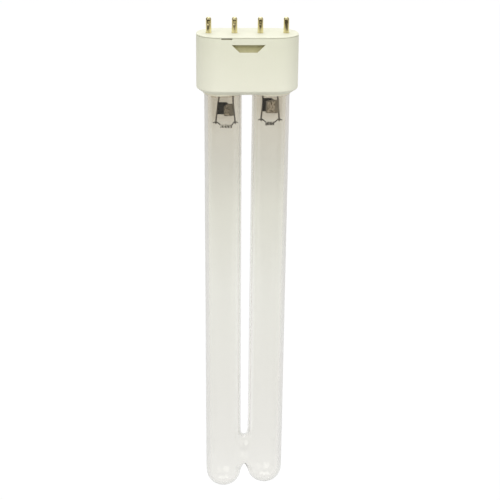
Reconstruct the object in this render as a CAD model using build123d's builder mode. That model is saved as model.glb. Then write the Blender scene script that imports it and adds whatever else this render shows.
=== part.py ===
from build123d import *
import os
from math import atan2, cos, degrees, pi, radians, sin, tan

# Plug-in germicidal lamp, cap up: two clear glass limbs, joined near their domed ends by a glass
# bridge, stand in a moulded cap with four pins in a row. Millimetres. The origin is the centre of
# the pin face, X runs along the pin row, Z points out along the pins, and the front is -Y.

# Contact pins: hollow, so that the lead wires run up into them
pin_count = 4
pin_pitch = 11.0
pin_diameter = 2.4
pin_length = 6.8
pin_tip_height = 0.8
pin_tip_diameter = 1.5
pin_tip_wall = 1.2
pin_bore = 0.9
pin_shank_diameter = 2.9
pin_shank_depth = 4.6
pin_clearance = 0.02

# Glass limbs, which lean together slightly and end at different depths
tube_diameter = 16.2
tube_wall = 1.0
tube_start = 7.0
limb_gap = 4.6
limb_lean = 0.19
limb_reach = {"left": 216.4, "right": 214.8}

# Bridge between the limbs
bridge_drop = 198.6
bridge_height = 14.6
bridge_width = 10.0
bridge_rounding = 1.5

# Glass stems, fused on the limbs' upper ends; one of them keeps the tipped exhaust tube
stem_rim = 1.0
stem_wall = 1.0
neck_diameter = 10.4
neck_depth = 9.0
press_thickness = 2.8
press_shoulder = 4.0
press_below_cap = {"left": 2.7, "right": 1.5}
exhausted_limb = "left"
exhaust_diameter = 3.4
exhaust_bore = 1.8
exhaust_length = 6.5
exhaust_tip_wall = 1.0

# Lead wires, with eight flats for their round and sharp knees: places across the limb of each inner lead
# as it leaves the press, at its knee and at its hook
wire_flats = 8
lead_diameter = 0.7
lead_top_spread = 5.0
lead_stub = 1.0
lead_knee_drop = 3.5
lead_drop = 11.6
lead_hook_return = 1.1
seal_clearance = 0.01
leads = {
    1: ("left", -1, (-1.7, -2.2, -3.1)),
    2: ("left", 1, (4.3, 4.4, 5.2)),
    3: ("right", -1, (-3.5, -3.3, -4.0)),
    4: ("right", 1, (2.9, 3.3, 3.8)),
}
outer_lead_diameter = 0.8
outer_lead_lift = 0.5
outer_lead_dip = 0.6
weld_gap = 0.08
outer_lead_depth_in_pin = 8.0

# Filament coils, hung between the lead hooks, each one wire with six flats and eight knees in a turn
coil_wire = 0.4
coil_flats = 6
coil_knees = 8
coil_diameter = 1.8
coil_pitch = 0.78
coil_turns = {"left": 6, "right": 5}
coil_shift = {"left": 1.3, "right": -0.2}
coil_drop = 2.2
coil_tail = 1.3
coil_tail_drop = 0.4
coil_seat = 0.5
hook_clearance = 0.02
hook_flat = 0.05

# Getter strips, folded in a U and welded on the left lead of each mount
getter_thickness = 0.25
getter_height = 5.2
getter_width = 6.9
getter_fold = 3.2
getter_front_leaf = {"left": 4.2, "right": 5.6}
getter_overlap = 0.1
getter_drop = 2.4
powder_height = 3.6
powder_thickness = 0.15

# Cap
cap_height = 24.9
cap_side_margin = 3.3
cap_front_margin = 3.65
cap_pin_margin = 5.3
cap_corner_radius = 10.5
cap_wall = 1.5
cap_bevel_rise = 1.8
cap_bevel_run = 2.6
socket_depth = 11.9
cement_gap = 0.6
cement_bead = 0.8
plate_lip = 0.4
plate_plug = 2.0
plate_inset = 0.1
plate_bevel = 0.2
plug_clearance = 0.1
pry_slot_width = 4.6
pry_slot_height = 0.4
pry_slot_depth = 0.9
pry_slot_place = -9.2

# Latch recesses, one on each broad side of the cap
latch_drop = 3.2
latch_height = 3.2
latch_top_width = 13.8
latch_bottom_width = 7.0
latch_depth = 2.2
latch_floor_height = 0.9
latch_backing = 1.3
latch_overshoot = 0.6

# Derived sizes
sides = {"left": -1, "right": 1}
tube_radius = tube_diameter / 2
bore_radius = tube_radius - tube_wall
limb_spacing = tube_diameter + limb_gap
bridge_gap = limb_gap - 2 * bridge_drop * tan(radians(limb_lean))
pin_row = pin_pitch * (pin_count - 1)
pin_places = [i * pin_pitch - pin_row / 2 for i in range(pin_count)]
cap_width = max(limb_spacing + tube_diameter + 2 * cap_side_margin, pin_row + 2 * cap_pin_margin)
cap_thickness = tube_diameter + 2 * cap_front_margin
plate_underside = -plate_lip - plate_plug
socket_radius = tube_radius + cement_gap
neck_floor = -tube_start - neck_depth
neck_radius = neck_diameter / 2
hook_radius = (lead_diameter + coil_wire) / 2 + hook_clearance
hook_width = 2 * hook_radius + hook_flat
coil_mean_radius = (coil_diameter - coil_wire) / 2

os.makedirs("parts", exist_ok=True)


def limb_section(side):
    """Plane through a limb's axis: X across the limb, Y up the axis, normal towards the front."""
    lean = radians(limb_lean)
    return Plane(
        origin=(sides[side] * limb_spacing / 2, 0, 0),
        x_dir=(cos(lean), 0, -sides[side] * sin(lean)),
        z_dir=(0, -1, 0),
    )


def limb_level(side, up, across=0.0):
    """Plane square to a limb's axis at a height, with Z along the axis towards the pins."""
    section = limb_section(side)
    return Plane(
        origin=section.from_local_coords((across, up, 0)), x_dir=section.x_dir, z_dir=section.y_dir
    )


def limb_axis(side):
    section = limb_section(side)
    return Axis(section.origin, section.y_dir)


def limb_side(side):
    """Plane through a limb's axis: X towards the rear, Y up the axis."""
    section = limb_section(side)
    return Plane(origin=section.origin, x_dir=(0, 1, 0), z_dir=section.x_dir)


def on_limb(side, across, up, front=0.0):
    """Point at a place across a limb, up its axis and in front of it."""
    return limb_section(side).from_local_coords((across, up, front))


def press_end(side):
    return -cap_height - press_below_cap[side]


def save(builder, name):
    builder.part.label = name
    export_step(builder.part, f"parts/{name}.step")


# Discharge tube: two blown limbs and their bridge, one piece of glass with an even wall
with BuildPart() as discharge_tube:
    for side in sides:
        with BuildSketch(limb_section(side)):
            with BuildLine():
                Polyline(
                    (0, -limb_reach[side]),
                    (0, -tube_start),
                    (tube_radius, -tube_start),
                    (tube_radius, tube_radius - limb_reach[side]),
                )
                CenterArc((0, tube_radius - limb_reach[side]), tube_radius, 0, -90)
            make_face()
        revolve(axis=limb_axis(side))
    with BuildSketch(Plane.YZ):
        with Locations((0, -bridge_drop)):
            Ellipse(bridge_width / 2, bridge_height / 2)
    extrude(amount=limb_spacing / 2 - tube_wall, both=True)
    bridge_roots = (
        discharge_tube.edges()
        .filter_by_position(Axis.X, -tube_radius, tube_radius)
        .filter_by_position(Axis.Z, -bridge_drop - bridge_height / 2, -bridge_drop + bridge_height / 2)
    )
    fillet(bridge_roots, radius=min(bridge_rounding, 0.45 * bridge_gap))
    for side in sides:
        with BuildSketch(limb_section(side)):
            with BuildLine():
                Polyline(
                    (0, tube_wall - limb_reach[side]),
                    (0, -tube_start),
                    (bore_radius, -tube_start),
                    (bore_radius, tube_radius - limb_reach[side]),
                )
                CenterArc((0, tube_radius - limb_reach[side]), bore_radius, 0, -90)
            make_face()
        revolve(axis=limb_axis(side), mode=Mode.SUBTRACT)
    with BuildSketch(Plane.YZ):
        with Locations((0, -bridge_drop)):
            Ellipse(bridge_width / 2 - tube_wall, bridge_height / 2 - tube_wall)
    extrude(amount=limb_spacing / 2 - tube_wall, both=True, mode=Mode.SUBTRACT)
save(discharge_tube, "discharge_tube")

# Stems: a flanged glass tube fused on the limb's end and pinched flat round the lead wires
for side in sides:
    with BuildPart() as stem:
        with BuildSketch(limb_section(side)):
            with BuildLine():
                Polyline(
                    (0, press_end(side)),
                    (neck_radius, press_end(side)),
                    (neck_radius, -tube_start),
                    (tube_radius, -tube_start),
                    (tube_radius, stem_rim - tube_start),
                    (neck_radius - stem_wall, stem_rim - tube_start),
                    (neck_radius - stem_wall, neck_floor),
                    (0, neck_floor),
                    close=True,
                )
            make_face()
        revolve(axis=limb_axis(side))
        for facing in (-1, 1):
            with BuildSketch(limb_side(side)):
                with BuildLine():
                    Polyline(
                        (facing * press_thickness / 2, press_end(side) - stem_wall),
                        (facing * press_thickness / 2, neck_floor - stem_wall - press_shoulder),
                        (facing * neck_radius, neck_floor - stem_wall),
                        (facing * tube_radius, neck_floor - stem_wall),
                        (facing * tube_radius, press_end(side) - stem_wall),
                        close=True,
                    )
                make_face()
            extrude(amount=tube_radius, both=True, mode=Mode.SUBTRACT)
        for limb, place, bends in leads.values():
            if limb != side:
                continue
            seal_top = on_limb(side, place * lead_top_spread / 2, neck_floor + lead_stub)
            seal = on_limb(side, bends[0], press_end(side)) - seal_top
            with BuildSketch(Plane(origin=seal_top, z_dir=seal)):
                RegularPolygon(lead_diameter / 2 + seal_clearance, wire_flats)
            extrude(amount=seal.length + lead_stub, mode=Mode.SUBTRACT)
        if side == exhausted_limb:
            with BuildSketch(limb_level(side, neck_floor)):
                Circle(exhaust_diameter / 2)
            extrude(amount=exhaust_length)
            with BuildSketch(limb_level(side, press_end(side))):
                Circle(exhaust_bore / 2)
            bore_end = neck_floor + exhaust_length - exhaust_tip_wall
            extrude(amount=bore_end - press_end(side), mode=Mode.SUBTRACT)
    save(stem, f"stem_{side}")

# Inner leads: nickelled wires sealed in the press, each with a hook that clamps the coil's leg
for number, (side, place, (exit_place, knee_place, hook_place)) in leads.items():
    hook_level = press_end(side) - lead_drop
    with BuildPart() as inner_lead:
        with BuildLine() as wire:
            Polyline(
                on_limb(side, place * lead_top_spread / 2, neck_floor + lead_stub),
                on_limb(side, exit_place, press_end(side)),
                on_limb(side, knee_place, press_end(side) - lead_knee_drop),
                on_limb(side, hook_place, hook_level),
                on_limb(side, hook_place, hook_level, hook_width),
                on_limb(side, hook_place, hook_level + lead_hook_return, hook_width),
            )
        with BuildSketch(Plane(origin=wire.line @ 0, z_dir=wire.line % 0)):
            RegularPolygon(lead_diameter / 2, wire_flats)
        sweep(path=wire.line, transition=Transition.RIGHT)
    save(inner_lead, f"inner_lead_{number}")

# Outer leads: copper wires welded end to end on the inner leads, led over the flare into the hollow pins
for (number, (side, place, _)), pin_place in zip(leads.items(), pin_places):
    with BuildPart() as outer_lead:
        with BuildLine() as wire:
            Polyline(
                on_limb(side, place * lead_top_spread / 2, neck_floor + lead_stub + weld_gap),
                on_limb(side, place * lead_top_spread / 2, stem_rim - tube_start + outer_lead_lift),
                (pin_place, 0, -pin_shank_depth - outer_lead_dip),
                (pin_place, 0, outer_lead_depth_in_pin - pin_shank_depth),
            )
        with BuildSketch(Plane(origin=wire.line @ 0, z_dir=wire.line % 0)):
            RegularPolygon(outer_lead_diameter / 2, wire_flats)
        sweep(path=wire.line, transition=Transition.RIGHT)
    save(outer_lead, f"outer_lead_{number}")

# Cathode coils: one coated tungsten wire each, from tail to tail over both hooks, with the spiral that sags
# between them
for side in sides:
    left_hook, right_hook = [bends[2] for limb, _, bends in leads.values() if limb == side]
    seat_level = press_end(side) - lead_drop + hook_radius
    front = hook_width / 2
    length = coil_turns[side] * coil_pitch
    spiral = []
    for knee in range(coil_turns[side] * coil_knees + 1):
        turn = 2 * pi * knee / coil_knees
        across = coil_shift[side] - length / 2 + coil_pitch * knee / coil_knees
        up = seat_level - coil_drop + coil_mean_radius * cos(turn)
        spiral.append(on_limb(side, across, up, front + coil_mean_radius * sin(turn)))
    with BuildPart() as cathode_coil:
        with BuildLine() as wire:
            Polyline(
                on_limb(side, left_hook - coil_tail, seat_level - coil_tail_drop, front),
                on_limb(side, left_hook - coil_seat, seat_level, front),
                on_limb(side, left_hook + coil_seat, seat_level, front),
                *spiral,
                on_limb(side, right_hook - coil_seat, seat_level, front),
                on_limb(side, right_hook + coil_seat, seat_level, front),
                on_limb(side, right_hook + coil_tail, seat_level - coil_tail_drop, front),
            )
        with BuildSketch(Plane(origin=wire.line @ 0, z_dir=wire.line % 0)):
            RegularPolygon(coil_wire / 2, coil_flats)
        sweep(path=wire.line, transition=Transition.RIGHT)
    save(cathode_coil, f"cathode_coil_{side}")

# Getter strips: a plated strip folded in a U, with pressed powder on its front leaf, spot-welded on a lead
for side in sides:
    left_lead = [bends for limb, place, bends in leads.values() if limb == side and place < 0][0]
    knee_place, hook_place = left_lead[1:]
    strip_top = press_end(side) - getter_drop
    along = (getter_drop + getter_height / 2 - lead_knee_drop) / (lead_drop - lead_knee_drop)
    weld_edge = knee_place + (hook_place - knee_place) * along - getter_overlap
    back_leaf = -(lead_diameter + getter_thickness) / 2
    front_leaf = back_leaf - getter_fold
    fold_start = weld_edge + getter_width - (getter_thickness + getter_fold) / 2
    free_edge = weld_edge + getter_width - getter_front_leaf[side]
    with BuildPart() as getter_strip:
        with BuildSketch(limb_level(side, strip_top)):
            with BuildLine():
                Line((weld_edge, back_leaf), (fold_start, back_leaf))
                CenterArc((fold_start, back_leaf - getter_fold / 2), getter_fold / 2, 90, -180)
                Line((fold_start, front_leaf), (free_edge, front_leaf))
            trace(line_width=getter_thickness)
        extrude(amount=-getter_height)
        with BuildSketch(limb_level(side, strip_top - (getter_height - powder_height) / 2)):
            powder_face = front_leaf - (getter_thickness + powder_thickness) / 2
            with Locations(((free_edge + fold_start) / 2, powder_face)):
                Rectangle(fold_start - free_edge, powder_thickness)
        extrude(amount=-powder_height)
    save(getter_strip, f"getter_strip_{side}")

# Cement: fills the socket round each limb and shows as a bead below the cap
for side in sides:
    with BuildPart() as cement_ring:
        with BuildSketch(limb_section(side)):
            with BuildLine():
                Polyline(
                    (tube_radius, -cap_height - cement_bead),
                    (socket_radius, -cap_height - cement_bead),
                    (socket_radius, socket_depth - cap_height),
                    (tube_radius, socket_depth - cap_height),
                    close=True,
                )
            make_face()
        revolve(axis=limb_axis(side))
    save(cement_ring, f"cement_ring_{side}")

# Cap housing: a moulding with a cavity under the pin plate, a socket for each limb, a latch recess on each
# broad face, and a lower edge bevelled all round
with BuildPart() as cap_housing:
    rim = Plane(origin=(0, 0, -plate_lip), x_dir=(1, 0, 0), z_dir=(0, 0, -1))
    wall_height = cap_height - plate_lip - cap_bevel_rise
    with BuildSketch(rim):
        RectangleRounded(cap_width, cap_thickness, cap_corner_radius)
    extrude(amount=wall_height)
    with BuildSketch(rim.offset(wall_height)):
        RectangleRounded(cap_width, cap_thickness, cap_corner_radius)
    extrude(amount=cap_bevel_rise, taper=degrees(atan2(cap_bevel_run, cap_bevel_rise)))
    with BuildSketch(rim):
        RectangleRounded(cap_width - 2 * cap_wall, cap_thickness - 2 * cap_wall, cap_corner_radius - cap_wall)
    extrude(amount=cap_height - plate_lip - socket_depth, mode=Mode.SUBTRACT)
    for side in sides:
        with BuildSketch(limb_level(side, -cap_height - socket_depth)):
            Circle(socket_radius)
        extrude(amount=2.5 * socket_depth, mode=Mode.SUBTRACT)
    pad_top = plate_underside - plug_clearance
    pad_height = latch_drop + latch_height + latch_backing + pad_top
    pad_depth = latch_depth + latch_backing - cap_wall / 2
    for facing in (-1, 1):
        with BuildSketch(Plane.XY.offset(pad_top)):
            with Locations((0, facing * (cap_thickness / 2 - cap_wall / 2 - pad_depth / 2))):
                Rectangle(latch_top_width + 2 * latch_backing, pad_depth)
        extrude(amount=-pad_height)
    for facing in (-1, 1):
        broad_face = Plane(
            origin=(0, facing * cap_thickness / 2, -latch_drop), x_dir=(-facing, 0, 0), z_dir=(0, facing, 0)
        )
        with BuildPart(mode=Mode.SUBTRACT):
            with BuildSketch(broad_face.offset(-latch_depth)):
                with BuildLine():
                    Polyline(
                        (-latch_top_width / 2, 0),
                        (latch_top_width / 2, 0),
                        (latch_bottom_width / 2, -latch_height),
                        (-latch_bottom_width / 2, -latch_height),
                        close=True,
                    )
                make_face()
            extrude(amount=latch_depth + latch_overshoot)
            with BuildSketch(Plane.YZ):
                with BuildLine():
                    Polyline(
                        (facing * cap_thickness / 2, -latch_drop - latch_height),
                        (facing * (cap_thickness / 2 - latch_depth), -latch_drop - latch_floor_height),
                        (facing * (cap_thickness / 2 - latch_depth), -latch_drop - latch_height),
                        close=True,
                    )
                make_face()
            extrude(amount=latch_top_width, both=True, mode=Mode.SUBTRACT)
    with Locations((pry_slot_place, -cap_thickness / 2, -plate_lip)):
        Box(pry_slot_width, 2 * pry_slot_depth, 2 * pry_slot_height, mode=Mode.SUBTRACT)
save(cap_housing, "cap_housing")

# Pin plate: the lid of the cap, with a plug that enters the housing and a hole for each pin
with BuildPart() as pin_plate:
    with BuildSketch(Plane.XY.offset(-plate_lip)):
        RectangleRounded(
            cap_width - 2 * plate_inset, cap_thickness - 2 * plate_inset, cap_corner_radius - plate_inset
        )
    extrude(amount=plate_lip)
    chamfer(pin_plate.faces().sort_by(Axis.Z)[-1].edges(), length=plate_bevel)
    with BuildSketch(Plane.XY.offset(plate_underside)):
        plug_inset = cap_wall + plug_clearance
        RectangleRounded(
            cap_width - 2 * plug_inset, cap_thickness - 2 * plug_inset, cap_corner_radius - plug_inset
        )
    extrude(amount=plate_plug)
    with Locations(*[(x, 0, 0) for x in pin_places]):
        Hole(pin_shank_diameter / 2 + pin_clearance)
save(pin_plate, "pin_plate")

# Contact pins: drawn brass tubes, closed and bevelled at the tip, with a thicker shank pressed in the plate
for number, pin_place in enumerate(pin_places, start=1):
    with BuildPart() as contact_pin:
        with BuildSketch(Plane(origin=(pin_place, 0, 0), x_dir=(1, 0, 0), z_dir=(0, -1, 0))):
            with BuildLine():
                Polyline(
                    (pin_bore / 2, -pin_shank_depth),
                    (pin_shank_diameter / 2, -pin_shank_depth),
                    (pin_shank_diameter / 2, 0),
                    (pin_diameter / 2, 0),
                    (pin_diameter / 2, pin_length - pin_tip_height),
                    (pin_tip_diameter / 2, pin_length),
                    (0, pin_length),
                    (0, pin_length - pin_tip_wall),
                    (pin_bore / 2, pin_length - pin_tip_wall),
                    close=True,
                )
            make_face()
        revolve(axis=Axis((pin_place, 0, 0), (0, 0, 1)))
    save(contact_pin, f"contact_pin_{number}")
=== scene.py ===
import bpy
import bmesh
from math import atan2, cos, exp, pi, radians, sin, sqrt, tan
from mathutils import Matrix, Vector, noise


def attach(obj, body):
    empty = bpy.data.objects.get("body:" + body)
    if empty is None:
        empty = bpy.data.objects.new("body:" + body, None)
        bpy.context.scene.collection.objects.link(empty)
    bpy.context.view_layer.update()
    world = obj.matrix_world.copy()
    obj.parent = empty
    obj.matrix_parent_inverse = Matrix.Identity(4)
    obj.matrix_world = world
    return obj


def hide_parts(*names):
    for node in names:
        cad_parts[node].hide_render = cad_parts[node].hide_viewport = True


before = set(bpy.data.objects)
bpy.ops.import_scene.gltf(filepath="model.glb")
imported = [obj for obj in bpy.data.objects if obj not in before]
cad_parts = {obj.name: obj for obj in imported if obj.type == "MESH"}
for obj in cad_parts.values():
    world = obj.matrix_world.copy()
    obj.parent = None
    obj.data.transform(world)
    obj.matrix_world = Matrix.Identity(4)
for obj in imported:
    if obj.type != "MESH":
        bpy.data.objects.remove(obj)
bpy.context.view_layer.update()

# Discharge tube: two blown limbs of clear ultraviolet glass, fused near their domed ends by a short bridge and
# cemented in the cap. A grey-brown deposit next to the cathodes thins out downwards. Pieces are modelled in
# millimetres and set in place in metres; finishes and the setting are in metres.
sides = {"left": -1, "right": 1}
tube_radius = 8.1
tube_wall = 1.0
glass_ior = 1.47
tube_top = -7.0
tube_ends = {"left": -216.4, "right": -214.8}
limb_offset = 10.4
limb_lean = radians(0.19)
bridge_level = -198.6
bridge_half_height = 7.3
bridge_half_width = 5.0
bridge_root = 1.15
crotch_drop = 2.6
crotch_fade = 6.0
neck_lift = 0.8 * crotch_drop
plain_levels = [tube_top, -26, -60, -100, -140, -168, -184]
bridge_rows = 4
ring_gap = 1.0
dome_rings = 6
dome_fullness = 2.25
facets = 24
window_facets = 5
draw_in = (4 + 2 * cos(2 * pi / facets)) / 6


class Tone:
    """A socket in a finish's node tree. Sums and products of tones add their Math nodes."""

    def __init__(self, tree, socket=None):
        self.tree = tree
        self.socket = socket

    def node(self, kind, settings, sockets, output=0):
        """Adds a node: its settings first, then the values or tones for its sockets."""
        made = self.tree.nodes.new("ShaderNode" + kind)
        for name, value in settings.items():
            if name == "stops":
                stops = made.color_ramp.elements
                for stop, (place, colour) in zip(stops, (value[0], value[-1])):
                    stop.position = place
                    stop.color = (*colour, 1)
                for place, colour in value[1:-1]:
                    stops.new(place).color = (*colour, 1)
            else:
                setattr(made, name, value)
        for name, value in sockets.items():
            if isinstance(value, Tone):
                self.tree.links.new(value.socket, made.inputs[name])
            else:
                made.inputs[name].default_value = value
        return Tone(self.tree, made.outputs[output] if made.outputs else None)

    def maths(self, operation, first, second):
        return self.node("Math", {"operation": operation}, {0: first, 1: second})

    def __add__(self, other):
        return self.maths("ADD", self, other)

    def __radd__(self, other):
        return self.maths("ADD", other, self)

    def __sub__(self, other):
        return self.maths("SUBTRACT", self, other)

    def __rsub__(self, other):
        return self.maths("SUBTRACT", other, self)

    def __mul__(self, other):
        return self.maths("MULTIPLY", self, other)


def start_finish(name):
    """A new finish, and the object coordinates that its patterns are laid out on."""
    finish = bpy.data.materials.new(name)
    finish.use_nodes = True
    finish.node_tree.nodes.clear()
    return finish, Tone(finish.node_tree).node("TexCoord", {}, {}, "Object")


def coordinate(place, axis):
    """A place's distance along one axis, in metres."""
    return place.node("SeparateXYZ", {}, {"Vector": place}, axis)


def size_of(value):
    """A value without its sign."""
    return value.maths("ABSOLUTE", value, 0.0)


def grain(place, scale, detail=3.0, stretch=(1, 1, 1)):
    """Soft noise from 0 to 1, with about `scale` spots to the metre, drawn out along an axis by `stretch`."""
    laid = place.node("Mapping", {}, {"Vector": place, "Scale": stretch})
    return place.node("TexNoise", {}, {"Vector": laid, "Scale": scale, "Detail": detail})


def blend(amount, first, second):
    """From the first colour to the second as the amount goes from 0 to 1."""
    return amount.node("Mix", {"data_type": "RGBA"}, {0: amount, 6: first, 7: second}, 2)


def spread(value, low, high, to_low=0.0, to_high=1.0):
    """The value's range from low to high, spread over another range and held at its ends."""
    ends = {"From Min": low, "From Max": high, "To Min": to_low, "To Max": to_high}
    return value.node("MapRange", {}, {"Value": value, **ends})


def lay_finish(place, sockets):
    """Ends a finish in one shader that covers the piece."""
    shader = place.node("BsdfPrincipled", {}, sockets)
    place.node("OutputMaterial", {}, {"Surface": shader})


def limb_frame(side):
    """Stands a piece that is modelled about the Z axis on a limb's axis."""
    hand = sides[side]
    return Matrix.Translation((hand * limb_offset, 0, 0)) @ Matrix.Rotation(hand * limb_lean, 4, "Y")


def set_in_place(bm, name, nodes, finish, sharp=35):
    """Makes a finished mesh the piece that stands for these CAD nodes."""
    bmesh.ops.scale(bm, vec=(0.001, 0.001, 0.001), verts=bm.verts)
    mesh = bpy.data.meshes.new(name)
    bm.to_mesh(mesh)
    bm.free()
    mesh.materials.append(finish)
    mesh.shade_smooth()
    mesh.set_sharp_from_angle(angle=radians(sharp))
    piece = bpy.data.objects.new(name, mesh)
    bpy.context.scene.collection.objects.link(piece)
    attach(piece, "root")
    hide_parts(*nodes)
    return piece


def only(parts, kind):
    """The parts of one kind, out of what an operator hands back."""
    return [p for p in parts if isinstance(p, kind)]


def turn_outline(bm, outline, steps, closed=False):
    """Turns an outline of radii and levels once round the Z axis."""
    corners = [bm.verts.new((radius, 0, level)) for radius, level in outline]
    following = corners[1:] + corners[:1] if closed else corners[1:]
    run = [bm.edges.new(pair) for pair in zip(corners, following)]
    bmesh.ops.spin(
        bm, geom=corners + run, cent=(0, 0, 0), axis=(0, 0, 1), angle=2 * pi, steps=steps, use_merge=True
    )


def dome_reach(depth):
    """The half-width of a limb's blown end at a depth below the start of its dome."""
    return ring * max(0.0, 1 - (max(0.0, depth) / ring) ** dome_fullness) ** (1 / dome_fullness)


glass = bmesh.new()
window_edges = []
ring = tube_radius / draw_in
root_height = bridge_root * bridge_half_height
crotch = bridge_level - root_height
rows = [bridge_level + root_height * (1 - 2 * row / bridge_rows) for row in range(bridge_rows + 1)]
for side, hand in sides.items():
    earlier = set(glass.verts)
    dome_level = tube_ends[side] + tube_radius
    levels = [(ring, level) for level in plain_levels + rows]
    if rows[-1] - dome_level > ring_gap:
        levels.append((ring, dome_level))
    for step in range(1, dome_rings + 1):
        depth = ring * sin(pi / 2 * step / dome_rings)
        levels.append((dome_reach(depth), dome_level - depth))
    turn_outline(glass, levels, facets)
    limb = [v for v in glass.verts if v not in earlier]
    bmesh.ops.remove_doubles(glass, verts=limb, dist=0.001)
    limb = [v for v in glass.verts if v not in earlier]
    bmesh.ops.rotate(glass, verts=limb, cent=(0, 0, 0), matrix=Matrix.Rotation(pi / facets, 3, "Z"))
    window = []
    for face in glass.faces:
        middle = face.calc_center_median()
        across = abs(atan2(middle.y, -hand * middle.x))
        if face.verts[0] not in earlier and rows[-1] < middle.z < rows[0]:
            if across < pi * window_facets / facets:
                window.append(face)
    bmesh.ops.delete(glass, geom=window, context="FACES")
    limb = [v for v in glass.verts if v not in earlier]
    rim = [
        e
        for e in glass.edges
        if e.is_boundary and e.verts[0] not in earlier and e.verts[0].co.z < bridge_level + 2 * root_height
    ]
    for v in {v for e in rim for v in e.verts}:
        turn = atan2((v.co.z - bridge_level) / root_height, v.co.y / bridge_half_width)
        v.co.y = bridge_root * bridge_half_width * cos(turn) / draw_in
        v.co.z = bridge_level + root_height * sin(turn) / draw_in
        v.co.x = -hand * sqrt(ring**2 - v.co.y**2)
    window_edges += rim
    for v in limb:
        inward = max(0.0, cos(atan2(v.co.y, -hand * v.co.x)))
        above = min(1.0, max(0.0, (bridge_level - v.co.z) / root_height))
        below = max(0.0, 1 - max(0.0, crotch - v.co.z) / crotch_fade)
        v.co.z -= crotch_drop * inward**2 * above**2 * below
        if v.co.xy.length > 0.01:
            v.co.xy *= dome_reach(dome_level - v.co.z) / v.co.xy.length
    bmesh.ops.transform(glass, matrix=limb_frame(side), verts=limb)
bmesh.ops.bridge_loops(glass, edges=window_edges)
crossing = [e for e in glass.edges if e.verts[0].co.x * e.verts[1].co.x < 0]
halved = bmesh.ops.subdivide_edges(glass, edges=crossing, cuts=1)["geom_inner"]
neck = only(halved, bmesh.types.BMVert)
bmesh.ops.scale(
    glass,
    vec=(1, 1 / bridge_root, 1 / bridge_root),
    space=Matrix.Translation((0, 0, -bridge_level)),
    verts=neck,
)
for v in neck:
    if v.co.z < bridge_level:
        v.co.z += neck_lift * ((bridge_level - v.co.z) / bridge_half_height) ** 2
bmesh.ops.recalc_face_normals(glass, faces=glass.faces)

clear_glass, place = start_finish("clear_uv_glass")
across, depth, height = [coordinate(place, axis) for axis in "XYZ"]
cloud = grain(place, 60, 2, (1, 1, 0.35))
level = spread(height, -0.216, -0.024) + (cloud - 0.5) * 0.05
deposit_and_painted_light = place.node(
    "ValToRGB",
    {
        "stops": [
            (0.0, (0.835, 0.825, 0.785)),
            (0.12, (0.80, 0.79, 0.745)),
            (0.25, (0.783, 0.773, 0.722)),
            (0.52, (0.795, 0.79, 0.724)),
            (0.72, (0.735, 0.727, 0.64)),
            (0.83, (0.64, 0.62, 0.54)),
            (1.0, (0.60, 0.555, 0.455)),
        ]
    },
    {"Fac": level},
)
aside = size_of(across)
# Painted light: the glass by the inner edges above the bridge, which the other limb shades, is painted up to
# halfway towards near white.
inner_edge_painted_light = spread(aside, 0.003, 0.0042, 0.5, 0.0) * spread(height, -0.193, -0.186)
inner_edge_painted_light = inner_edge_painted_light * spread(level, 0.5, 0.85, 1.0, 0.2)
deposit_and_painted_light = blend(inner_edge_painted_light, deposit_and_painted_light, (0.985, 0.98, 0.965, 1))
# Darker brown on the middle of each limb, mostly on its rear wall, from the cap down to about 40 mm below the
# top.
off_axis = size_of(aside - limb_offset / 1000)
limb_middle_darkening = spread(off_axis, 0.0045, 0.0072, 1.0, 0.0) * spread(depth, -0.004, 0.004, 0.3, 1.0)
limb_middle_darkening = limb_middle_darkening * spread(height - spread(across, -0.004, 0.004, 0.0, 0.0018), -0.0425, -0.0375)
deposit_and_painted_light = blend(limb_middle_darkening, deposit_and_painted_light, (0.43, 0.38, 0.285, 1))
bare = place.node(
    "BsdfPrincipled",
    {},
    {
        "Base Color": deposit_and_painted_light,
        "Roughness": spread(grain(place, 900, 4), 0.3, 0.7, 0.02, 0.05),
        "IOR": glass_ior,
        "Transmission Weight": 1.0,
    },
)
haze_and_painted_light = blend(spread(level, 0.4, 1.0), (0.94, 0.935, 0.91, 1), (0.78, 0.76, 0.71, 1))
# Painted light: the film by the inner edges, which the other limb shades, is painted near white.
haze_and_painted_light = blend(spread(aside, 0.0032, 0.006, 0.8, 0.0), haze_and_painted_light, (1.0, 0.995, 0.97, 1))
film = place.node("BsdfPrincipled", {}, {"Base Color": haze_and_painted_light, "Roughness": 0.4, "IOR": glass_ior})
glance = place.node("LayerWeight", {}, {"Blend": 0.5}, "Facing")
veil = spread(glance, 0.36, 0.54, 0.02, 1.0) * spread(level, 0.2, 0.9, 0.6, 0.92)
# Painted light: less film by the inner edges, which the other limb shades, and at the bottom of the domes,
# which face down, so these render lighter.
veil = veil * spread(aside, 0.0032, 0.006, 0.25, 1.0) * spread(height, -0.212, -0.2, 0.45, 1.0)
milky = place.node("MixShader", {}, {0: veil, 1: bare, 2: film})
place.node("OutputMaterial", {}, {"Surface": milky})

inner_glass, place = start_finish("clear_uv_glass_bore")
lay_finish(
    place,
    {
        "Base Color": (1, 1, 1, 1),
        "Roughness": spread(grain(place, 700, 4), 0.3, 0.7, 0.01, 0.04),
        "IOR": glass_ior,
        "Transmission Weight": 1.0,
    },
)
discharge_tube = set_in_place(
    glass, "discharge_tube_glass", ["discharge_tube"], clear_glass, 180
)
rounded = discharge_tube.modifiers.new("blown_round", "SUBSURF")
rounded.levels = rounded.render_levels = 2
walled = discharge_tube.modifiers.new("glass_wall", "SOLIDIFY")
walled.thickness = tube_wall / 1000
walled.offset = -1
walled.use_even_offset = True
walled.material_offset = 1
discharge_tube.data.materials.append(inner_glass)

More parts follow.
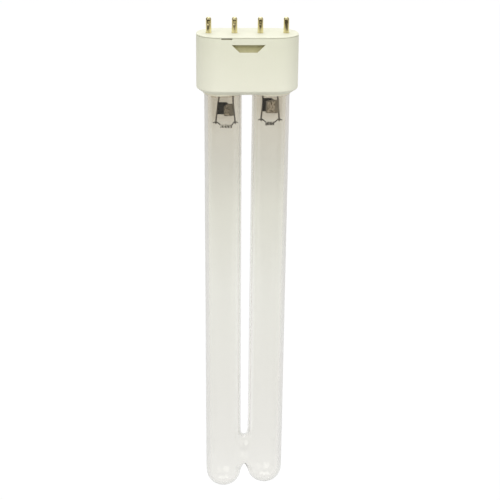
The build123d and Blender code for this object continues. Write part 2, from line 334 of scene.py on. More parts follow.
# Stems: softer glass, flared on the limbs' upper ends and pinched flat round the lead wires. Nearly all
# of each is inside the cap, and the end of the press shows just below it.
stem_glass, place = start_finish("stem_glass")
lay_finish(
    place,
    {
        "Base Color": blend(grain(place, 500, 3), (0.84, 0.80, 0.71, 1), (0.92, 0.88, 0.80, 1)),
        "Roughness": spread(grain(place, 1400, 3), 0.3, 0.7, 0.08, 0.2),
        "IOR": 1.015,
        "Transmission Weight": 1.0,
    },
)
for side in sides:
    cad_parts[f"stem_{side}"].material_slots[0].material = stem_glass

# Inner leads: nickelled iron wires sealed in the press. Each is set a little outwards at its knee and
# ends in a small hook that is closed on the filament's leg.
press_ends = {"left": -27.6, "right": -26.4}
leads = {
    1: ("left", -1, (-1.7, -2.2, -3.1)),
    2: ("left", 1, (4.3, 4.4, 5.2)),
    3: ("right", -1, (-3.5, -3.3, -4.0)),
    4: ("right", 1, (2.9, 3.3, 3.8)),
}
lead_radius = 0.35
lead_top = -15.0
lead_top_spread = 5.0
knee_drop = 3.5
knee_bend = 1.6
hook_drop = 11.6
hook_radius = 0.57
hook_width = 1.19
hook_return = 1.1


def draw_out(bm, faces, reach):
    """Draws faces on by a distance, with walls in place of what they leave behind."""
    drawn = bmesh.ops.extrude_face_region(bm, geom=faces)["geom"]
    bmesh.ops.delete(bm, geom=faces, context="FACES")
    bmesh.ops.translate(bm, verts=only(drawn, bmesh.types.BMVert), vec=reach)
    return only(drawn, bmesh.types.BMFace)


def start_wire(bm, point, heading, radius, flats=14):
    """The first stub of a round wire that sets off from a point, closed at its cut end."""
    stand = Matrix.Translation(point) @ heading.to_track_quat("Z", "X").to_matrix().to_4x4()
    rim = bmesh.ops.create_circle(bm, cap_ends=True, segments=flats, radius=radius, matrix=stand)["verts"]
    cut_end = rim[0].link_faces[0]
    stub = bmesh.ops.extrude_face_region(bm, geom=[cut_end])["geom"]
    bmesh.ops.translate(bm, verts=only(stub, bmesh.types.BMVert), vec=heading.normalized() * radius / 2)
    return only(stub, bmesh.types.BMFace)[0]


def wind_on(bm, tip, centre, axis, angle, steps, advance=(0, 0, 0)):
    """Turns the wire on from its tip round an axis, and along by an advance at each step."""
    wound = bmesh.ops.spin(
        bm, geom=[tip], cent=centre, axis=axis, dvec=advance, angle=angle, steps=steps
    )["geom_last"]
    bmesh.ops.delete(bm, geom=[tip], context="FACES")
    return only(wound, bmesh.types.BMFace)[0]


def run_wire(bm, tip, points, bend):
    """Draws the wire on from its tip through the points, turned on the bend radius at each corner."""
    points = [Vector(p) for p in points]
    for corner, point in enumerate(points):
        start = tip.calc_center_median()
        heading = (point - start).normalized()
        after = (points[corner + 1] - point).normalized() if corner + 1 < len(points) else heading
        angle = heading.angle(after)
        trim = bend * tan(angle / 2)
        tip = draw_out(bm, [tip], point - heading * trim - start)[0]
        if angle < 0.01:
            continue
        axis = heading.cross(after).normalized()
        centre = tip.calc_center_median() + axis.cross(heading) * bend
        tip = wind_on(bm, tip, centre, axis, angle, max(2, round(angle / radians(15))))
    return tip


nickelled_wire, place = start_finish("nickelled_wire")
dull = grain(place, 1500, 4, (1, 1, 0.3))
lay_finish(
    place,
    {
        "Base Color": blend(dull, (0.07, 0.06, 0.045, 1), (0.27, 0.25, 0.215, 1)),
        "Metallic": 1.0,
        "Roughness": spread(dull, 0.2, 0.8, 0.50, 0.32),
    },
)
for number, (side, hand, (exit_place, knee_place, hook_place)) in leads.items():
    press_end = press_ends[side]
    hook_level = press_end - hook_drop
    top = Vector((hand * lead_top_spread / 2, 0, lead_top))
    press_exit = Vector((exit_place, 0, press_end))
    lead = bmesh.new()
    tip = start_wire(lead, top, press_exit - top, lead_radius)
    knee = (knee_place, 0, press_end - knee_drop)
    tip = run_wire(lead, tip, [press_exit, knee, (hook_place, 0, hook_level + 1)], knee_bend)
    run_wire(
        lead,
        tip,
        [
            (hook_place, 0, hook_level),
            (hook_place, -hook_width, hook_level),
            (hook_place, -hook_width, hook_level + hook_return),
        ],
        hook_radius,
    )
    bmesh.ops.transform(lead, matrix=limb_frame(side), verts=lead.verts)
    bmesh.ops.recalc_face_normals(lead, faces=lead.faces)
    set_in_place(lead, f"inner_lead_wire_{number}", [f"inner_lead_{number}"], nickelled_wire)

# Cathode coils: tungsten wire wound in a small spiral that sags between the hooks. The spiral is caked
# with white emitter powder, and its bare legs lie in the hooks.
coil_wire_radius = 0.23
coat_thickness = 0.1
coil_radius = 0.58
coil_pitch = 1.2
coil_turns = {"left": 4, "right": 3}
coil_shift = {"left": 1.3, "right": -0.2}
coil_drop = 1.9
coil_seat = 0.5
coil_tail = 1.3
coil_tail_drop = 0.4
leg_bend = 0.22
caked_reach = 0.92
core_radius = 0.42
core_overhang = 0.1
core_sag = 0.3
core_lumps = 0.4
core_lump_rate = 2.2
core_parts = 20
turn_steps = 24
swelling = 1 + coat_thickness / coil_wire_radius
coil_front = -hook_width / 2
lead_in = Vector((-0.12, 0.6, 0.0))
ahead = Vector((0, -0.1, 0))
tungsten, place = start_finish("bare_tungsten")
scale = grain(place, 2000, 3)
lay_finish(
    place,
    {
        "Base Color": blend(scale, (0.05, 0.045, 0.037, 1), (0.15, 0.135, 0.12, 1)),
        "Metallic": 0.4,
        "Roughness": spread(scale, 0.2, 0.8, 0.6, 0.4),
    },
)
emitter_cake, place = start_finish("caked_emitter_powder")
cake = grain(place, 2600, 4)
coat = spread(cake - spread(coordinate(place, "X"), -0.005, 0.005, 0.0, 0.16), 0.28, 0.42)
lay_finish(
    place,
    {
        "Base Color": blend(coat, (0.07, 0.06, 0.05, 1), (0.92, 0.91, 0.87, 1)),
        "Roughness": spread(coat, 0.0, 1.0, 0.55, 0.95),
        "Normal": place.node("Bump", {}, {"Strength": 0.6, "Distance": 0.00006, "Height": cake}),
    },
)


def swell(bm, tip, amount, reach):
    """Draws the wire on a little, and makes it thicker or thinner there."""
    tip = draw_out(bm, [tip], reach)[0]
    bmesh.ops.scale(bm, vec=(amount,) * 3, space=Matrix.Translation(-tip.calc_center_median()), verts=tip.verts)
    return tip


for side in sides:
    left_hook, right_hook = [bends[2] for limb, _, bends in leads.values() if limb == side]
    seat = press_ends[side] - hook_drop + hook_radius
    length = coil_turns[side] * coil_pitch
    begin = Vector((coil_shift[side] - length / 2, coil_front, seat - coil_drop + coil_radius))
    finish_point = begin + Vector((length, 0, 0))
    coil = bmesh.new()
    tail = Vector((left_hook - coil_tail, coil_front, seat - coil_tail_drop))
    tip = start_wire(coil, tail, Vector((coil_tail - coil_seat, 0, coil_tail_drop)), coil_wire_radius, 10)
    tip = run_wire(
        coil,
        tip,
        [
            (left_hook - coil_seat, coil_front, seat),
            (left_hook + coil_seat, coil_front, seat),
            begin + lead_in,
            begin - ahead,
        ],
        leg_bend,
    )
    tip = swell(coil, tip, swelling, ahead)
    tip = wind_on(
        coil,
        tip,
        begin - Vector((0, 0, coil_radius)),
        (1, 0, 0),
        2 * pi * coil_turns[side],
        turn_steps * coil_turns[side],
        (coil_pitch / turn_steps, 0, 0),
    )
    tip = swell(coil, tip, 1 / swelling, ahead)
    run_wire(
        coil,
        tip,
        [
            finish_point - lead_in,
            (right_hook - coil_seat, coil_front, seat),
            (right_hook + coil_seat, coil_front, seat),
            (right_hook + coil_tail, coil_front, seat - coil_tail_drop),
        ],
        leg_bend,
    )
    wire_verts = set(coil.verts)
    for face in coil.faces:
        middle = face.calc_center_median() - begin
        from_axis = middle + Vector((-middle.x, 0, coil_radius))
        if -core_overhang < middle.x < length + core_overhang and from_axis.length < caked_reach:
            face.material_index = 1
    core = begin + Vector((-core_overhang, 0, -coil_radius - core_sag))
    core_run = Vector((length + 2 * core_overhang, 0, 0))
    tip = start_wire(coil, core, core_run, core_radius, 16)
    run_wire(coil, tip, [core + core_run * part / core_parts for part in range(2, core_parts + 1)], 0)
    bmesh.ops.recalc_face_normals(coil, faces=coil.faces)
    for v in coil.verts:
        if v not in wire_verts:
            outwards = v.co - Vector((v.co.x, core.y, core.z))
            v.co += outwards * core_lumps * noise.noise(v.co * core_lump_rate)
    bmesh.ops.transform(coil, matrix=limb_frame(side), verts=coil.verts)
    coil_piece = set_in_place(
        coil, f"cathode_coil_wire_{side}", [f"cathode_coil_{side}"], tungsten
    )
    coil_piece.data.materials.append(emitter_cake)

# Getter strips: plated steel strip folded in a U and spot-welded on a lead. Grey getter powder is
# pressed on the front leaf.
strip_thickness = 0.25
strip_heights = {"left": 5.3, "right": 5.9}
strip_width = 6.9
strip_fold = 3.2
front_leaves = {"left": 4.2, "right": 5.6}
strip_foot = 7.6
weld_overlap = 0.1
crease_place = 0.75
fold_dip = 0.9
bend_place = 0.4
corner_dips = {"left": 1.1, "right": 0.7}
powder_thickness = 0.15
powder_lump_rate = 2.1
powder_grid = 18
powder_sunk = 0.05
powder_margins = {"left": (0.15, 0.15, 0.1), "right": (0.75, 0.3, 0.7)}
back_leaf = -lead_radius - strip_thickness
inner_fold = (strip_fold - strip_thickness) / 2
front_leaf = back_leaf - 2 * inner_fold
plated_strip, place = start_finish("plated_getter_strip")
mottle = grain(place, 700, 5)
speck = grain(place, 5200, 2)
from_weld = place.maths("MODULO", coordinate(place, "X") + 0.0132, 0.0198)
# Painted shade and burnt oxide: the back leaf, inside the fold, is painted near black by the weld and mostly
# grey further off.
burnt_and_painted_shade = spread(coordinate(place, "Y"), -0.0024, -0.0012) * spread(from_weld, 0.0036, 0.0048, 1.0, 0.25)
lay_finish(
    place,
    {
        "Base Color": blend(burnt_and_painted_shade + (mottle - 0.5) * 0.4, (0.30, 0.27, 0.22, 1), (0.014, 0.010, 0.003, 1)),
        "Metallic": 1.0,
        "Roughness": spread(mottle, 0.2, 0.8, 0.65, 0.42),
        "Normal": place.node("Bump", {}, {"Strength": 0.5, "Distance": 0.00008, "Height": speck}),
    },
)

getter_powder, place = start_finish("getter_powder")
crust = grain(place, 1500, 4)
caked = spread(crust + spread(coordinate(place, "X"), -0.005, 0.005, -0.025, 0.05), 0.41, 0.59)
lay_finish(
    place,
    {
        "Base Color": blend(caked, (0.10, 0.08, 0.05, 1), (0.66, 0.58, 0.47, 1)),
        "Roughness": spread(crust, 0.2, 0.8, 0.95, 0.8),
        "Normal": place.node("Bump", {}, {"Strength": 0.6, "Distance": 0.0001, "Height": crust}),
    },
)


def extend(bm, edge, reach):
    """Draws a strip on from its edge."""
    grown = bmesh.ops.extrude_edge_only(bm, edges=[edge])["geom"]
    bmesh.ops.translate(bm, verts=only(grown, bmesh.types.BMVert), vec=reach)
    return [e for e in only(grown, bmesh.types.BMEdge) if len(e.link_faces) == 1][0]


def fold_sheet(bm, edge, centre, axis, angle, steps):
    """Bends a sheet on from its edge round an axis."""
    bent = bmesh.ops.spin(
        bm, geom=[edge, *edge.verts], cent=centre, axis=axis, angle=angle, steps=steps
    )["geom_last"]
    return only(bent, bmesh.types.BMEdge)[0]


def past(crease, x, start, end):
    """How far x lies past a crease in the leaf from start to end: 0 up to the crease, 1 at the end."""
    return max(0.0, ((x - start) / (end - start) - crease) / (1 - crease))


for side in sides:
    knee_place, hook_place = [bends for limb, hand, bends in leads.values() if limb == side and hand < 0][0][1:]
    strip_height = strip_heights[side]
    strip_top = press_ends[side] - strip_foot + strip_height
    along = (strip_foot - strip_height / 2 - knee_drop) / (hook_drop - knee_drop)
    weld_edge = knee_place + (hook_place - knee_place) * along - weld_overlap
    fold_start = weld_edge + strip_width - (strip_thickness + strip_fold) / 2
    free_edge = weld_edge + strip_width - front_leaves[side]
    strip = bmesh.new()
    ends = [strip.verts.new((weld_edge, back_leaf, strip_top - drop)) for drop in (0, strip_height)]
    edge = strip.edges.new(ends)
    for part in (crease_place, 1 - crease_place):
        edge = extend(strip, edge, (part * (fold_start - weld_edge), 0, 0))
    edge = fold_sheet(strip, edge, (fold_start, back_leaf - inner_fold, 0), (0, 0, -1), pi, 12)
    for part in (bend_place, 1 - bend_place):
        edge = extend(strip, edge, (part * (free_edge - fold_start), 0, 0))
    bmesh.ops.recalc_face_normals(strip, faces=strip.faces)
    bmesh.ops.solidify(strip, geom=strip.faces[:], thickness=-strip_thickness)
    for v in strip.verts:
        if v.co.z > strip_top - strip_height / 2:
            folded = min(1.0, past(crease_place, v.co.x, weld_edge, fold_start))
            bent = min(1.0, past(bend_place, v.co.x, fold_start, free_edge))
            rear = min(1.0, max(0.0, (v.co.y - front_leaf) / (back_leaf - front_leaf)))
            v.co.z -= fold_dip * folded * rear + corner_dips[side] * bent * (1 - rear)
    top_margin, low_margin, side_margin = powder_margins[side]
    cake_height = strip_height - top_margin - low_margin
    cake_width = fold_start - free_edge - side_margin
    cake_middle = (
        fold_start - cake_width / 2,
        front_leaf - strip_thickness + powder_sunk,
        strip_top - top_margin - cake_height / 2,
    )
    stand = (
        Matrix.Translation(cake_middle)
        @ Matrix.Rotation(pi / 2, 4, "X")
        @ Matrix.Diagonal((cake_width / 2, cake_height / 2, 1, 1))
    )
    laid = bmesh.ops.create_grid(
        strip, x_segments=powder_grid, y_segments=powder_grid, size=1.0, matrix=stand
    )["verts"]
    patch = list(dict.fromkeys(f for v in laid for f in v.link_faces))
    for face in patch:
        face.material_index = 1
    raised = bmesh.ops.extrude_face_region(strip, geom=patch)["geom"]
    crusted = only(raised, bmesh.types.BMVert)
    for v in crusted:
        v.co.y -= powder_sunk + powder_thickness * (0.75 + 0.5 * noise.noise(v.co * powder_lump_rate))
    for v in laid + crusted:
        upper = (v.co.z - strip_top) / strip_height + 1
        v.co.z -= corner_dips[side] * upper * past(bend_place, v.co.x, fold_start, free_edge)
    bmesh.ops.recalc_face_normals(strip, faces=strip.faces)
    bmesh.ops.transform(strip, matrix=limb_frame(side), verts=strip.verts)
    strip_piece = set_in_place(
        strip, f"getter_strip_folded_{side}", [f"getter_strip_{side}"], plated_strip
    )
    strip_piece.data.materials.append(getter_powder)

# Cement: pale basing cement that fills the gap round each limb, squeezed out below the cap as an uneven
# bead.
cement_outer = 8.7
cement_steps = 72
cement_top = -13.0
cement_low = -25.7
bead_edge = ((0.0, 0.7), (0.03, 0.3), (0.15, 0.1), (0.35, 0.02))
bead_waves = ((0.22, 0.35), (0.06, 1.4))
cement, place = start_finish("basing_cement")
crumb = grain(place, 2200, 5)
lay_finish(
    place,
    {
        "Base Color": blend(crumb, (0.82, 0.78, 0.60, 1), (0.96, 0.92, 0.77, 1)),
        "Roughness": spread(crumb, 0.2, 0.8, 0.95, 0.8),
        "Normal": place.node("Bump", {}, {"Strength": 0.5, "Distance": 0.0001, "Height": crumb}),
    },
)
for side in sides:
    ring_of_cement = bmesh.new()
    outline = [(tube_radius, cement_top), (cement_outer, cement_top)]
    outline += [(cement_outer - inwards, cement_low + rise) for inwards, rise in bead_edge]
    outline.append((tube_radius, cement_low))
    turn_outline(ring_of_cement, outline, cement_steps, closed=True)
    bmesh.ops.recalc_face_normals(ring_of_cement, faces=ring_of_cement.faces)
    bmesh.ops.transform(ring_of_cement, matrix=limb_frame(side), verts=ring_of_cement.verts)
    for v in ring_of_cement.verts:
        if v.co.z < cement_low + 0.5:
            v.co.z += sum(height * noise.noise(v.co * rate) for height, rate in bead_waves)
    set_in_place(ring_of_cement, f"cement_bead_{side}", [f"cement_ring_{side}"], cement)

# Cap housing: one moulding of cream plastic with a cavity under the pin plate, a socket in which each limb is
# cemented, and a latch recess with a sloping floor in each broad face.
cap_width = 43.6
cap_thickness = 23.5
cap_corner = 10.5
cap_corner_steps = 16
cap_sharp_angle = 28
housing_top = -0.52
cap_bottom = -24.9
bevel_rise = 1.8
bevel_run = 2.6
lip_rounding = 0.45
rim_rounding = 0.16
cavity_wall = 3.6
cavity_floor = -13.0
socket_middle = -20.0
socket_length = 16.0
latch_top = -3.2
latch_step = -4.1
latch_bottom = -6.4
latch_top_half = 6.9
latch_bottom_half = 3.5
latch_depth = 2.2
latch_rounding = 0.22
latch_inner = 8.0
notch_place = -9.1
notch_width = 4.6
notch_bottom = -0.90
notch_depth = 3.7
cap_plastic, place = start_finish("cream_cap_plastic")
# Random flow tone, plus painted light: the cap is painted lighter towards its bottom, as if lit from below.
flow_and_painted_light = grain(place, 45, 3) * 0.5 + spread(coordinate(place, "Z"), -0.021, -0.004, 0.6, 0.0)
pores = grain(place, 4200, 3)
lay_finish(
    place,
    {
        "Base Color": blend(flow_and_painted_light, (0.80, 0.80, 0.63, 1), (0.93, 0.92, 0.77, 1)),
        "Roughness": spread(pores, 0.2, 0.8, 0.42, 0.58),
        "IOR": 1.5,
        "Normal": place.node("Bump", {}, {"Strength": 0.12, "Distance": 0.00006, "Height": pores}),
    },
)
# Painted shade: a darker olive copy of the cap plastic, for the faces inside the latch recesses and the notch
# at the lid's edge, where shade falls.
recess_shade_plastic, place = start_finish("recess_painted_shade_plastic")
recess_mottle = grain(place, 900, 4)
lay_finish(
    place,
    {
        "Base Color": blend(recess_mottle, (0.40, 0.37, 0.18, 1), (0.55, 0.52, 0.31, 1)),
        "Roughness": spread(recess_mottle, 0.2, 0.8, 0.6, 0.85),
    },
)


def round_edges(bm, edges, offset, segments):
    """Rounds edges over."""
    return bmesh.ops.bevel(
        bm,
        geom=edges,
        offset=offset,
        offset_type="OFFSET",
        segments=segments,
        profile=0.5,
        affect="EDGES",
        material=-1,
        clamp_overlap=True,
    )


def rounded_block(width, thickness, low, high, corner, corner_steps):
    """A block with upright rounded corners, standing between two levels."""
    bm = bmesh.new()
    stand = Matrix.Translation((0, 0, (low + high) / 2)) @ Matrix.Diagonal((width, thickness, high - low, 1))
    bmesh.ops.create_cube(bm, size=1.0, matrix=stand)
    upright = [e for e in bm.edges if abs(e.verts[0].co.z - e.verts[1].co.z) > 0.5 * (high - low)]
    round_edges(bm, upright, corner, corner_steps)
    return bm


def edges_at(bm, level):
    """The edges that lie at a level."""
    return [e for e in bm.edges if all(abs(v.co.z - level) < 1e-4 for v in e.verts)]


def cut_faces(bm, faces, point, normal):
    """Scores these faces along a plane."""
    parts = list(dict.fromkeys(p for f in faces for p in (f, *f.edges, *f.verts)))
    bmesh.ops.bisect_plane(bm, geom=parts, dist=1e-4, plane_co=point, plane_no=normal)


def broad_faces(bm, facing, low, high):
    """The flat faces of one broad side of the cap, between two levels."""
    bm.normal_update()
    return [
        f
        for f in bm.faces
        if f.normal.y * facing > 0.999
        and abs(f.calc_center_median().y * facing - cap_thickness / 2) < 1e-3
        and low < f.calc_center_median().z < high
    ]


def add_drill(bm, radius, length, steps, stand):
    """A round bar for a hole."""
    bmesh.ops.create_cone(
        bm, cap_ends=True, segments=steps, radius1=radius, radius2=radius, depth=length, matrix=stand
    )


def bore_holes(piece, cutter_mesh):
    """Cuts the cutter's shape out of a piece, for good."""
    cutter_mesh.normal_update()
    mesh = bpy.data.meshes.new("cutter")
    bmesh.ops.scale(cutter_mesh, vec=(0.001, 0.001, 0.001), verts=cutter_mesh.verts)
    cutter_mesh.to_mesh(mesh)
    cutter_mesh.free()
    cutter = bpy.data.objects.new("cutter", mesh)
    bpy.context.scene.collection.objects.link(cutter)
    bore = piece.modifiers.new("bore", "BOOLEAN")
    bore.object = cutter
    bore.solver = "EXACT"
    cut = bpy.data.meshes.new_from_object(piece.evaluated_get(bpy.context.evaluated_depsgraph_get()))
    piece.modifiers.clear()
    blank = piece.data
    piece.data = cut
    cut.shade_smooth()
    cut.set_sharp_from_angle(angle=radians(cap_sharp_angle))
    bpy.data.meshes.remove(blank)
    bpy.data.objects.remove(cutter)
    bpy.data.meshes.remove(mesh)
    even = piece.modifiers.new("even_shading", "WEIGHTED_NORMAL")
    even.keep_sharp = True


housing = rounded_block(
    cap_width, cap_thickness, cap_bottom + bevel_rise, housing_top, cap_corner, cap_corner_steps
)
housing.normal_update()
underside = min(housing.faces, key=lambda f: f.normal.z)
bmesh.ops.inset_region(housing, faces=[underside], thickness=bevel_run, depth=bevel_rise, use_even_offset=True)
for level in (cap_bottom + bevel_rise, cap_bottom):
    round_edges(housing, edges_at(housing, level), lip_rounding, 3)
for facing in (-1, 1):
    broad_y = facing * cap_thickness / 2
    for level in (latch_top, latch_step, latch_bottom):
        cut_faces(housing, broad_faces(housing, facing, cap_bottom, 0), (0, broad_y, level), (0, 0, 1))
    for hand in (-1, 1):
        side_line = hand * latch_top_half
        side_slope = hand * (latch_bottom_half - latch_top_half) / (latch_top - latch_bottom)
        band = broad_faces(housing, facing, latch_bottom, latch_top)
        cut_faces(housing, band, (side_line, broad_y, 0), (1, 0, 0))
        for v in housing.verts:
            if abs(v.co.x - side_line) < 1e-3 and abs(v.co.y - broad_y) < 1e-3:
                v.co.x += side_slope * (latch_top - v.co.z)
    band = broad_faces(housing, facing, latch_bottom, latch_top)
    pocket = [f for f in band if abs(f.calc_center_median().x) < 0.5]
    pressed = draw_out(housing, pocket, (0, -facing * latch_depth, 0))
    for v in {v for f in pressed for v in f.verts if v.co.z < latch_bottom + 0.1}:
        v.co.y = broad_y
    bmesh.ops.remove_doubles(housing, verts=housing.verts, dist=1e-4)
    bmesh.ops.recalc_face_normals(housing, faces=housing.faces)
    brim = [
        e
        for e in housing.edges
        if e.calc_face_angle(0) > radians(15)
        and all(
            abs(v.co.x) < latch_top_half + 0.01
            and latch_bottom - 0.01 < v.co.z < latch_top + 0.01
            and v.co.y * facing > latch_inner
            for v in e.verts
        )
    ]
    round_edges(housing, brim, latch_rounding, 3)
    # The faces inside the recess take the painted-shade plastic.
    for face in housing.faces:
        middle = face.calc_center_median()
        if abs(middle.x) < latch_top_half and latch_bottom < middle.z < latch_top:
            if latch_inner < middle.y * facing < cap_thickness / 2 - 0.05:
                face.material_index = 1
round_edges(housing, edges_at(housing, housing_top), rim_rounding, 2)
lid_seat = max((f for f in housing.faces if f.normal.z > 0.99), key=lambda f: f.calc_area())
bmesh.ops.inset_region(housing, faces=[lid_seat], thickness=cavity_wall - rim_rounding, use_even_offset=True)
draw_out(housing, [lid_seat], (0, 0, cavity_floor - housing_top))
bmesh.ops.recalc_face_normals(housing, faces=housing.faces)
cap_housing = set_in_place(
    housing, "cap_housing_moulding", ["cap_housing"], cap_plastic, cap_sharp_angle
)
cap_housing.data.materials.append(recess_shade_plastic)
sockets = bmesh.new()
for side in sides:
    stand = limb_frame(side) @ Matrix.Translation((0, 0, socket_middle))
    add_drill(sockets, cement_outer, socket_length, cement_steps, stand)
notch_height = 2 * (housing_top - notch_bottom)
notch = bmesh.ops.create_cube(
    sockets,
    size=1.0,
    matrix=Matrix.Translation((notch_place, -cap_thickness / 2, housing_top))
    @ Matrix.Diagonal((notch_width, 2 * notch_depth, notch_height, 1)),
)["verts"]
# The notch's walls take the painted-shade plastic, so that the slot shows dark.
for face in {f for v in notch for f in v.link_faces}:
    face.material_index = 1
bore_holes(cap_housing, sockets)

# Pin plate: the lid of the cap, in the same cream plastic. A plug on its underside enters the housing, and
# the four pins are pressed through it.
pin_places = (-16.5, -5.5, 5.5, 16.5)
pin_steps = 40
plate_inset = 0.1
plate_rounding = 0.2
lip_low = -0.36
lip_low_rounding = 0.06
neck_inset = 0.5
shank_radius = 1.45
shank_clearance = 0.02
plug_depth = 1.6
plate = rounded_block(
    cap_width - 2 * plate_inset,
    cap_thickness - 2 * plate_inset,
    lip_low,
    0.0,
    cap_corner - plate_inset,
    cap_corner_steps,
)
round_edges(plate, edges_at(plate, 0.0), plate_rounding, 3)
round_edges(plate, edges_at(plate, lip_low), lip_low_rounding, 2)
for inset, drop in ((neck_inset, lip_low - housing_top), (cavity_wall - neck_inset, plug_depth)):
    plate.normal_update()
    underside = max((f for f in plate.faces if f.normal.z < -0.99), key=lambda f: f.calc_area())
    bmesh.ops.inset_region(plate, faces=[underside], thickness=inset, use_even_offset=True)
    draw_out(plate, [underside], (0, 0, -drop))
bmesh.ops.recalc_face_normals(plate, faces=plate.faces)
pin_plate = set_in_place(plate, "pin_plate_lid", ["pin_plate"], cap_plastic, cap_sharp_angle)
pin_holes = bmesh.new()
for pin_place in pin_places:
    stand = Matrix.Translation((pin_place, 0, -1.0))
    add_drill(pin_holes, shank_radius + shank_clearance, 8.0, pin_steps, stand)
bore_holes(pin_plate, pin_holes)

# Contact pins: drawn brass tubes with a round closed tip and a thicker shank in the plate, dented front and
# rear to grip the lead wire inside. The brass is streaked along its length, with a painted reflection: dark
# on the front and rear of each pin in a band that narrows to the foot, bright at the sides, foot and tip.
pin_radius = 1.2
pin_length = 6.8
pin_rings = 19
tip_start = 5.7
tip_rings = 7
shank_depth = 4.6
shoulder = (-0.02, 0.03)
pin_bore = 0.45
dent_level = 4.2
dent_spread = 0.55
dents = {1: 0.30, 2: 0.28, 3: 0.16, 4: 0.05}
pin_brass, place = start_finish("streaked_pin_brass_painted_reflection")
streak = grain(place, 1500, 4, (1, 1, 0.08))
tarnish = grain(place, 420, 4)
rise = coordinate(place, "Z")
face_on = size_of(coordinate(place, "Y"))
# Painted reflection: the front and rear faces are darkened in a band that narrows towards the foot and stops
# below the tip.
painted_reflection = spread(face_on - (0.0055 - rise) * 0.1, 0.0004, 0.0009) * spread(rise, 0.0056, 0.0064, 1.0, 0.0)
bright = spread(streak * 0.6 + tarnish * 0.4, 0.3, 0.7, 0.75, 1.0)
bright = bright - painted_reflection * spread(tarnish, 0.3, 0.7, 0.64, 0.5)
lay_finish(
    place,
    {
        "Base Color": blend(bright, (0.19, 0.13, 0.03, 1), (0.97, 0.88, 0.52, 1)),
        "Metallic": 1.0,
        "Roughness": spread(tarnish, 0.25, 0.75, 0.12, 0.26),
    },
)
for number, pin_place in enumerate(pin_places, start=1):
    outline = [(pin_bore, -shank_depth), (shank_radius, -shank_depth)]
    outline += zip((shank_radius, pin_radius), shoulder)
    outline += [(pin_radius, tip_start * step / pin_rings) for step in range(1, pin_rings + 1)]
    for step in range(1, tip_rings + 1):
        turn = pi / 2 * step / tip_rings
        outline.append((pin_radius * cos(turn), tip_start + (pin_length - tip_start) * sin(turn)))
    pin = bmesh.new()
    turn_outline(pin, outline, pin_steps)
    bmesh.ops.remove_doubles(pin, verts=pin.verts, dist=1e-4)
    mouth = [e for e in pin.edges if e.is_boundary]
    bmesh.ops.contextual_create(pin, geom=mouth)
    bmesh.ops.recalc_face_normals(pin, faces=pin.faces)
    for v in pin.verts:
        for facing in (-1, 1):
            apart = (v.co - Vector((0, facing * pin_radius, dent_level))).length
            v.co.y -= facing * dents[number] * exp(-((apart / dent_spread) ** 2))
    bmesh.ops.translate(pin, verts=pin.verts, vec=(pin_place, 0, 0))
    set_in_place(pin, f"contact_pin_brass_{number}", [f"contact_pin_{number}"], pin_brass, 40)

# Outer leads: copper wires sealed in the stems. They run up inside the cap into the hollow pins, which
# are pinched on them.
copper_wire, place = start_finish("copper_lead_wire")
draw = grain(place, 1800, 3, (1, 1, 0.2))
lay_finish(
    place,
    {
        "Base Color": blend(draw, (0.55, 0.25, 0.13, 1), (0.80, 0.42, 0.26, 1)),
        "Metallic": 1.0,
        "Roughness": spread(draw, 0.2, 0.8, 0.28, 0.45),
    },
)
for number in leads:
    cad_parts[f"outer_lead_{number}"].material_slots[0].material = copper_wire

# Setting: the lamp is held by its cap over a plain white sweep, in soft light, and the camera looks slightly
# down on it. The sweep shows white to the camera and in glass and metal, and the room before it is dim.
floor_level = -0.262
sweep_front = -3.0
sweep_back = 2.4
sweep_top = 2.2
sweep_half_width = 3.0
sweep_bend = 0.5
sweep_mesh = bmesh.new()
front = [sweep_mesh.verts.new((x, sweep_front, floor_level)) for x in (-sweep_half_width, sweep_half_width)]
edge = extend(sweep_mesh, sweep_mesh.edges.new(front), (0, sweep_back - sweep_bend - sweep_front, 0))
bend_middle = (0, sweep_back - sweep_bend, floor_level + sweep_bend)
edge = fold_sheet(sweep_mesh, edge, bend_middle, (1, 0, 0), pi / 2, 16)
extend(sweep_mesh, edge, (0, 0, sweep_top - floor_level - sweep_bend))
bmesh.ops.recalc_face_normals(sweep_mesh, faces=sweep_mesh.faces)
sweep_data = bpy.data.meshes.new("white_sweep")
sweep_mesh.to_mesh(sweep_data)
sweep_mesh.free()
sweep_data.shade_smooth()
white_sweep = bpy.data.objects.new("white_sweep", sweep_data)
bpy.context.scene.collection.objects.link(white_sweep)


def rays(tree_start):
    """Whether a ray comes from the camera or through glass, and whether it comes off a glossy surface."""
    camera, glossy, through = [
        tree_start.node("LightPath", {}, {}, f"Is {ray} Ray") for ray in ("Camera", "Glossy", "Transmission")
    ]
    direct = tree_start.maths("MAXIMUM", camera, through)
    return direct, glossy * (1 - direct)


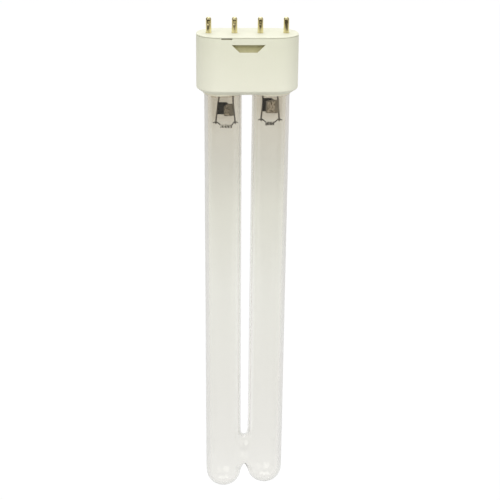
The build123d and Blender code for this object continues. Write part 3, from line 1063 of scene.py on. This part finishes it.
sheet_white, place = start_finish("white_sheet")
direct, mirrored = rays(place)
behind = spread(coordinate(place, "Y"), -0.42, -0.18, 0.15, 1.0)
paper = blend(grain(place, 300, 3), (0.48, 0.48, 0.47, 1), (0.52, 0.52, 0.51, 1))
lay_finish(
    place,
    {
        "Base Color": blend((direct + mirrored) * 0.97, paper, (0, 0, 0, 1)),
        "Roughness": 1.0,
        "Specular IOR Level": 0.0,
        "Emission Color": blend(direct + mirrored * behind, (0, 0, 0, 1), (1, 1, 1, 1)),
        "Emission Strength": 1.0,
    },
)
sweep_data.materials.append(sheet_white)

world = bpy.data.worlds.new("dim_studio")
world.use_nodes = True
world.node_tree.nodes.clear()
bpy.context.scene.world = world
sky = Tone(world.node_tree)
direct, mirrored = rays(sky)
room = blend(0.5 + direct * 0.5 - mirrored * 0.34, (0, 0, 0, 1), (1, 1, 1, 1))
sky.node("OutputWorld", {}, {"Surface": sky.node("Background", {}, {"Color": room, "Strength": 1.0})})

lamps = {
    "key_softbox": ((-0.45, -0.85, 0.45), 1.0, 5.5),
    "fill_softbox": ((0.75, -0.55, 0.3), 1.0, 2.9),
    "top_softbox": ((0.0, 0.35, 0.75), 0.8, 4.5),
}
lamp_aim = Vector((0, 0, -0.09))
for name, (stand, size, power) in lamps.items():
    lamp = bpy.data.lights.new(name, "AREA")
    lamp.shape = "SQUARE"
    lamp.size = size
    lamp.energy = power
    softbox = bpy.data.objects.new(name, lamp)
    softbox.location = stand
    softbox.rotation_euler = (lamp_aim - Vector(stand)).to_track_quat("-Z", "Y").to_euler()
    bpy.context.scene.collection.objects.link(softbox)

view_turn = radians(2.893)
view_down = radians(19.716)
view_roll = radians(0.557)
view_aim = (0.001986, 0, -0.097974)
view_distance = 0.57513
view = bpy.data.cameras.new("front_view")
view.lens = 91.97
view.sensor_width = 36.0
camera = bpy.data.objects.new("front_view", view)
camera.matrix_world = (
    Matrix.Rotation(-view_turn, 4, "Z")
    @ Matrix.Translation(view_aim)
    @ Matrix.Rotation(pi / 2 - view_down, 4, "X")
    @ Matrix.Rotation(view_roll, 4, "Z")
    @ Matrix.Translation((0, 0, view_distance))
)
bpy.context.scene.collection.objects.link(camera)
bpy.context.scene.camera = camera
bpy.context.scene.view_settings.view_transform = "Standard"
